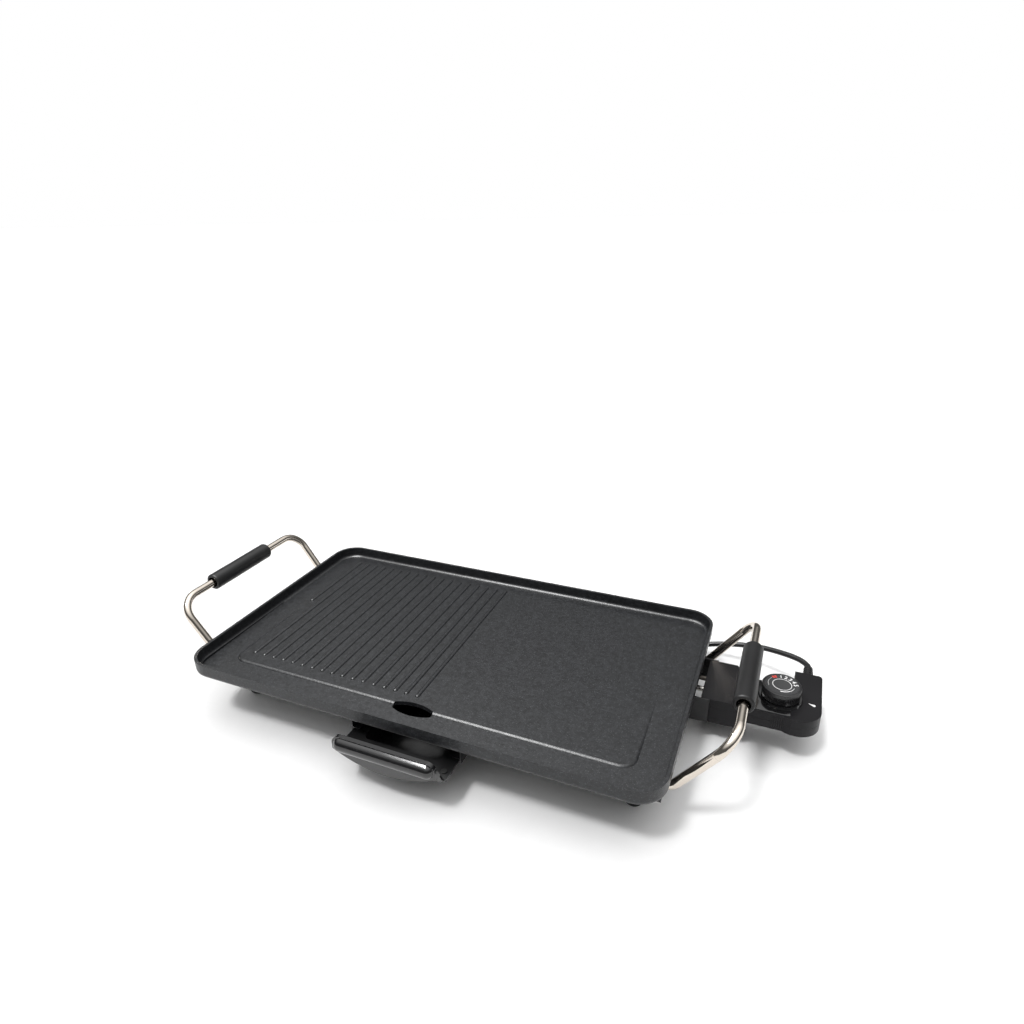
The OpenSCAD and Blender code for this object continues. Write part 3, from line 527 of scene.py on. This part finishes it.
class GRIDDLE_OT_plate(bpy.types.Operator):
    """Finish the cooking plate with its speckled non-stick coating"""

    bl_idname = "griddle.plate"
    bl_label = "Cooking plate"

    def execute(self, context):
        material = finish("Nonstick coating", colours().coating, 0.38, depth=1.0, scale=640.0,
                          contrast=1.7, spread=0.04, specular=0.42, blotch=260.0)
        tree = material.node_tree
        shader = next(n for n in tree.nodes if n.type == "BSDF_PRINCIPLED")
        place = next(n for n in tree.nodes if n.type == "TEX_COORD").outputs["Object"]
        grain = shader.inputs["Base Color"].links[0].from_socket
        flecks = linked(tree, "ShaderNodeTexVoronoi", {"Vector": place, "Scale": 680.0})
        mask = linked(tree, "ShaderNodeMapRange", {"Value": flecks.outputs["Distance"],
                                                   "From Min": 0.34, "From Max": 0.16})
        pick = linked(tree, "ShaderNodeTexNoise", {"Vector": place, "Scale": 420.0})
        some = linked(tree, "ShaderNodeMapRange", {"Value": pick.outputs["Fac"],
                                                   "From Min": 0.42, "From Max": 0.62,
                                                   "To Max": 0.34})
        both = linked(tree, "ShaderNodeMath", {0: mask.outputs[0], 1: some.outputs[0]},
                      operation="MULTIPLY")
        tone = linked(tree, "ShaderNodeMix", {"Factor": both.outputs[0], "A": grain,
                                              "B": tone_of(colours().fleck, 1.0)},
                      data_type="RGBA")
        tree.links.new(tone.outputs["Result"], shader.inputs["Base Color"])
        clad(["griddle_plate"], material)
        return {"FINISHED"}


class GRIDDLE_OT_legs(bpy.types.Operator):
    """Finish the legs, their pads and their screws"""

    bl_idname = "griddle.legs"
    bl_label = "Legs"

    def execute(self, context):
        clad(["legs"], finish("Leg plastic", (0.02, 0.02, 0.021), 0.48, depth=0.25))
        clad(["foot_pads"], finish("Foot rubber", (0.018, 0.018, 0.018), 0.7, depth=0.5,
                                   scale=900.0))
        clad(["leg_screws"], zinc())
        return {"FINISHED"}


class GRIDDLE_OT_handles(bpy.types.Operator):
    """Finish the plated handle rods, their grips and their clamps"""

    bl_idname = "griddle.handles"
    bl_label = "Handles"

    def execute(self, context):
        chrome = finish("Handle chrome", colours().chrome, 0.09, depth=0.03, scale=700.0,
                        contrast=1.06, spread=0.03, metallic=1.0, scuffs=0.10)
        grip = finish("Grip plastic", colours().grip, 0.46, depth=0.30, scale=2200.0,
                      contrast=1.22, spread=0.05, specular=0.34)
        clad(["handle_rod_left", "handle_rod_right"], chrome)
        clad(["grip_left", "grip_right"], grip)
        clad(["clamp_screws"], zinc())
        clad(["rod_clamps"], guard_paint())
        return {"FINISHED"}


class GRIDDLE_OT_underside(bpy.types.Operator):
    """Finish the heating element, the guard, the rails and their fixings"""

    bl_idname = "griddle.underside"
    bl_label = "Underside"

    def execute(self, context):
        sheath = finish("Element sheath", (0.30, 0.285, 0.27), 0.46, depth=0.35, scale=800.0,
                        contrast=1.5, spread=0.12, metallic=1.0, scuffs=0.2)
        clad(["heating_element"], sheath)
        clad(["element_clips", "clip_screws", "guard_screws", "rail_screws"], zinc())
        # The pins' dull brown is painted shade of the gap between the plate and the control.
        clad(["terminal_pins"], finish("Pin steel in painted shade", (0.20, 0.18, 0.16), 0.36, depth=0.15,
                                       metallic=1.0, scuffs=0.2))
        # The seals' dark brown is painted shade of the same gap.
        clad(["terminal_seals"], finish("Ceramic in painted shade", (0.085, 0.07, 0.055), 0.3, depth=0.15,
                                        contrast=1.12))
        clad(["terminal_guard", "tray_rail_left", "tray_rail_right"], guard_paint())
        return {"FINISHED"}


class GRIDDLE_OT_tray(bpy.types.Operator):
    """Finish the drip tray and its handle"""

    bl_idname = "griddle.tray"
    bl_label = "Drip tray"

    def execute(self, context):
        clad(["drip_tray"], finish("Tray paint", colours().tray, 0.36, depth=0.18, scale=1300.0,
                                   contrast=1.25, spread=0.08, scuffs=0.10))
        clad(["tray_rivets"], finish("Rivet steel", (0.10, 0.10, 0.10), 0.34, depth=0.1,
                                     metallic=1.0))
        softened("tray_handle", "tray_handle_moulding", 0.0009, gloss_black(), "tray")
        return {"FINISHED"}


PANEL_RECT = (0.2862, 0.0192, 0.3242, 0.0648)  # x0, y0, x1, y1
PANEL_CORNER = 0.0018
POINTER_TURN = -22  # degrees, so that its thin end points at the knob
FINGER_LINES = 9
FINGER_LINE_STEP = 0.0019
FINGER_LINE_SIZE = (0.0006, 0.0012, 0.0115)


class GRIDDLE_OT_control(bpy.types.Operator):
    """Round and finish the covers of the thermostat control, with its panel and its marks"""

    bl_idname = "griddle.control"
    bl_label = "Thermostat control"

    def execute(self, context):
        edge = sizes().cover_edge
        softened("control_top_cover", "top_cover", edge, satin_control(), "control")
        softened("control_bottom_cover", "bottom_cover", edge * 0.8, satin_control(), "control")
        clad(["control_screws"], zinc())
        low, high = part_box("control_top_cover")
        self.panel(high.z)
        self.pointer(high)
        self.finger_lines(low)
        clad(["thermostat_switch"], finish("Switch body", (0.50, 0.38, 0.23), 0.5, depth=0.3))
        clad(["contact_sockets"], finish("Contact brass", (0.75, 0.58, 0.28), 0.28, depth=0.1,
                                         metallic=1.0))
        clad(["temperature_probe"], nickel())
        clad(["inner_leads"], finish("Lead insulation", (0.42, 0.05, 0.04), 0.45, depth=0.2))
        return {"FINISHED"}

    def panel(self, top):
        """Glossy panel that the knob stands on."""
        outline = rounded_rect(*PANEL_RECT, PANEL_CORNER)
        bm = extruded(outline, top - 0.0004, top + 0.0007)
        bevel_sharp(bm, 0.0005, 2)
        new_object("knob_panel", bm, gloss_black(), "control")

    def pointer(self, high):
        """Drop-shaped mark beside the knob."""
        outline = [(-0.0034, 0.0)]
        outline += [(0.0018 + 0.0015 * math.cos(math.radians(a)),
                     0.0015 * math.sin(math.radians(a))) for a in range(-100, 101, 20)]
        place = Matrix.Translation((high.x - 0.0085, 0.0440, high.z))
        place @= Matrix.Rotation(math.radians(POINTER_TURN), 4, "Z")
        bm = extruded(outline, -0.00004, sizes().print_height)
        bmesh.ops.transform(bm, matrix=place, verts=bm.verts)
        new_object("pointer_mark", bm, print_white(), "control")

    def finger_lines(self, low):
        """Thin upright ridges on the front of the control, for the fingers."""
        bm = bmesh.new()
        for k in range(FINGER_LINES):
            made = bmesh.ops.create_cube(bm, size=1.0)["verts"]
            where = Vector((0.3095 + FINGER_LINE_STEP * k, low.y + 0.0030 - 0.00005 * k, 0.0395))
            size = Matrix.Diagonal((*FINGER_LINE_SIZE, 1))
            bmesh.ops.transform(bm, matrix=Matrix.Translation(where) @ size, verts=made)
        bevel_sharp(bm, 0.0002, 2)
        new_object("finger_lines", bm, satin_control(), "control")


def print_white():
    return finish("White print", colours().marks, 0.5, depth=0.1, contrast=1.05)


CAP_HEIGHT = 0.0040
PRINT_ROOT = 0.00002  # how far a printed mark goes into its surface, so no gap shows
OFF_ANGLES = (117, 125)  # start and end of the first red bar, in degrees
OFF_STEP = 11  # degrees to the second red bar
FIGURE_RADIUS = 0.0122
FIGURE_START, FIGURE_STEP = 98, -21  # angle of the first figure, and to the next one


class GRIDDLE_OT_knob(bpy.types.Operator):
    """Build the fluted knob and the printed dial on top of it"""

    bl_idname = "griddle.knob"
    bl_label = "Knob and dial"

    def execute(self, context):
        low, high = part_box("control_knob")
        centre = Vector(((low.x + high.x) / 2, (low.y + high.y) / 2, 0))
        radius = (high.x - low.x) / 2
        satin = finish("Knob plastic", (0.015, 0.015, 0.016), 0.30, depth=0.12, scale=2000.0,
                       contrast=1.2, spread=0.06)
        self.body(low, high, centre, radius, satin)
        clad(["knob_bezel"], gloss_black())
        clad(["knob_shaft"], nickel())
        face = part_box("dial_disc")[1].z
        clad(["dial_disc"], finish("Dial face", (0.036, 0.036, 0.038), 0.42, depth=0.15,
                                   scale=2400.0, contrast=1.15))
        self.marks(centre, radius, face)
        return {"FINISHED"}

    def body(self, low, high, centre, radius, material):
        """Smooth cap over a fluted skirt."""
        count, depth = sizes().flutes, sizes().flute_depth
        cap = high.z - CAP_HEIGHT
        profile = [(radius - 0.0024, high.z - 0.0008), (radius - 0.0024, high.z - 0.0002),
                   (radius - 0.0022, high.z), (radius - 0.0010, high.z),
                   (radius - 0.0003, high.z - 0.0004), (radius, high.z - 0.0012),
                   (radius, cap), (radius - 0.0004, cap - 0.0003),
                   (radius - 0.0005, low.z + 0.0008), (radius - 0.0009, low.z + 0.0002),
                   (radius - 0.0014, low.z), (0, low.z)]
        bm = turned(profile, centre, count * 4)
        for v in bm.verts:
            out = Vector((v.co.x - centre.x, v.co.y - centre.y, 0))
            if v.co.z < cap - 0.0001 and out.length > radius - 0.0012:
                wave = 0.5 + 0.5 * math.cos(count * math.atan2(out.y, out.x))
                v.co -= out.normalized() * depth * wave
        piece = new_object("fluted_knob", bm, material, "knob")
        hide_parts("control_knob")

    def marks(self, centre, radius, face):
        """Ring, heat band, scale numbers and the red off mark."""
        up = sizes().print_height
        white = bmesh.new()
        shapes = [band((0.0081, 0.0081), (0.0087, 0.0087), 0, 359.99, 72),
                  band((0.0101, 0.0108), (0.0114, 0.0112), -95, -12, 30)]
        shapes += [band((0.0121, 0.0121), (0.0127, 0.0127), 142 + 7 * k, 145 + 7 * k, 2)
                   for k in range(9)]
        for outline in shapes:
            part = extruded(outline, face - PRINT_ROOT, face + up)
            mesh = bpy.data.meshes.new("mark")
            part.to_mesh(mesh)
            part.free()
            white.from_mesh(mesh)
            bpy.data.meshes.remove(mesh)
        for k, figure in enumerate("12345"):
            self.figure(white, figure, FIGURE_START + FIGURE_STEP * k, face, up)
        bmesh.ops.translate(white, verts=white.verts, vec=centre)
        new_object("dial_marks", white, print_white(), "knob")
        red = extruded(band((0.0108, 0.0108), (0.0142, 0.0142), *OFF_ANGLES, 4),
                       face - PRINT_ROOT, face + up)
        copy = bmesh.ops.duplicate(red, geom=red.faces[:] + red.edges[:] + red.verts[:])["geom"]
        second = [v for v in copy if isinstance(v, bmesh.types.BMVert)]
        bmesh.ops.rotate(red, cent=(0, 0, 0), verts=second,
                         matrix=Matrix.Rotation(math.radians(OFF_STEP), 3, "Z"))
        bmesh.ops.translate(red, verts=red.verts, vec=centre)
        red_print = finish("Red print", colours().off_mark, 0.45, depth=0.1, contrast=1.08)
        new_object("off_mark", red, red_print, "knob")

    def figure(self, bm, text, angle, face, up):
        """Adds one raised figure to bm, with its foot towards the dial's middle."""
        curve = bpy.data.curves.new("figure", "FONT")
        curve.body = text
        curve.size = 0.0056
        curve.offset = 0.00016
        curve.extrude = (up + PRINT_ROOT) / 2
        curve.resolution_u = 3
        curve.align_x, curve.align_y = "CENTER", "CENTER"
        holder = bpy.data.objects.new("figure", curve)
        bpy.context.scene.collection.objects.link(holder)
        bpy.context.view_layer.update()
        mesh = bpy.data.meshes.new_from_object(holder)
        a = math.radians(angle)
        place = (FIGURE_RADIUS * math.cos(a), FIGURE_RADIUS * math.sin(a), face + up / 2)
        mesh.transform(Matrix.Translation(place) @ Matrix.Rotation(a - math.pi / 2, 4, "Z"))
        bm.from_mesh(mesh)
        bpy.data.objects.remove(holder)
        bpy.data.curves.remove(curve)
        bpy.data.meshes.remove(mesh)


FLOOR_HALF = 60.0
FLOOR_LEVEL = -0.0002
KEY_FROM = (-0.20, -0.42, 1.0)
GLINT_FROM = (-0.41, -0.24, 1.36)
GLINT_SIZE = (0.25, 0.95)
DOME_FROM, DOME_TO = 0.45, 0.95  # upward part of a direction where the dome starts and is full
DOME_DARK = 0.12


class GRIDDLE_OT_stage(bpy.types.Operator):
    """Put the griddle on a pale floor under soft studio light"""

    bl_idname = "griddle.stage"
    bl_label = "Stage"

    def execute(self, context):
        stage = context.scene.griddle_stage
        bm = bmesh.new()
        bmesh.ops.create_grid(bm, x_segments=2, y_segments=2, size=FLOOR_HALF)
        mesh = bpy.data.meshes.new("floor")
        bm.to_mesh(mesh)
        bm.free()
        mesh.materials.append(finish("Pale floor", stage.floor, 0.75, depth=0.0, scale=60.0,
                                     contrast=1.01, specular=0.1))
        floor = bpy.data.objects.new("floor", mesh)
        floor.location.z = FLOOR_LEVEL
        context.scene.collection.objects.link(floor)
        world = bpy.data.worlds.new("Studio")
        world.use_nodes = True
        tree = world.node_tree
        tree.nodes.clear()
        seen = linked(tree, "ShaderNodeLightPath").outputs["Is Camera Ray"]
        way = linked(tree, "ShaderNodeTexCoord").outputs["Generated"]
        up = linked(tree, "ShaderNodeSeparateXYZ", {0: way}).outputs["Z"]
        dome = linked(tree, "ShaderNodeMapRange", {"Value": up, "From Min": DOME_FROM,
                                                   "From Max": DOME_TO, "To Min": DOME_DARK,
                                                   "To Max": stage.ambient})
        strength = linked(tree, "ShaderNodeMix", {"Factor": seen, "A": dome.outputs[0], "B": 1.0})
        sky = linked(tree, "ShaderNodeBackground", {"Color": (1.0, 1.0, 1.0, 1.0),
                                                    "Strength": strength.outputs[0]})
        linked(tree, "ShaderNodeOutputWorld", {"Surface": sky.outputs[0]})
        context.scene.world = world
        context.scene.view_settings.view_transform = "Standard"
        context.scene.view_settings.look = "None"
        key = bpy.data.lights.new("Key", "SUN")
        key.energy = stage.key
        key.angle = math.radians(9)
        self.place(key, KEY_FROM, (0.0, 0.0, 0.0))
        glint = bpy.data.lights.new("Glint", "AREA")
        glint.shape = "RECTANGLE"
        glint.size, glint.size_y = GLINT_SIZE
        glint.energy = stage.glint
        lamp = self.place(glint, GLINT_FROM, (GLINT_FROM[0], GLINT_FROM[1], 0.0))
        lamp.visible_diffuse = False
        return {"FINISHED"}

    def place(self, data, place, target):
        """Stands a light at a place and turns it to face a target."""
        lamp = bpy.data.objects.new(data.name, data)
        lamp.location = place
        aim = Vector(target) - Vector(place)
        lamp.rotation_mode = "QUATERNION"
        lamp.rotation_quaternion = aim.to_track_quat("-Z", "Y")
        bpy.context.scene.collection.objects.link(lamp)
        return lamp


# ------------------------------------------------------------------ panel and registration

STEPS = ("camera", "cord", "plate", "legs", "handles", "underside", "tray", "control", "knob",
         "stage")


class GRIDDLE_PT_panel(bpy.types.Panel):
    """Sizes, colours and pieces of the griddle"""

    bl_idname = "GRIDDLE_PT_panel"
    bl_label = "Table griddle"
    bl_space_type = "VIEW_3D"
    bl_region_type = "UI"
    bl_category = "Griddle"

    def draw(self, context):
        layout = self.layout
        scene = context.scene
        for group in (scene.griddle_sizes, scene.griddle_colours, scene.griddle_stage):
            box = layout.box()
            for key in group.__annotations__:
                box.prop(group, key)
        for step in STEPS:
            layout.operator("griddle." + step)


CLASSES = (GriddleSizes, GriddleColours, GriddleStage, GRIDDLE_OT_camera, GRIDDLE_OT_cord,
           GRIDDLE_OT_plate, GRIDDLE_OT_legs, GRIDDLE_OT_handles, GRIDDLE_OT_underside,
           GRIDDLE_OT_tray, GRIDDLE_OT_control, GRIDDLE_OT_knob, GRIDDLE_OT_stage,
           GRIDDLE_PT_panel)


def register():
    for cls in CLASSES:
        bpy.utils.register_class(cls)
    bpy.types.Scene.griddle_sizes = PointerProperty(type=GriddleSizes)
    bpy.types.Scene.griddle_colours = PointerProperty(type=GriddleColours)
    bpy.types.Scene.griddle_stage = PointerProperty(type=GriddleStage)


def unregister():
    del bpy.types.Scene.griddle_stage
    del bpy.types.Scene.griddle_colours
    del bpy.types.Scene.griddle_sizes
    for cls in reversed(CLASSES):
        bpy.utils.unregister_class(cls)


def main():
    register()
    for step in STEPS:
        getattr(bpy.ops.griddle, step)()


if __name__ == "__main__":
    main()
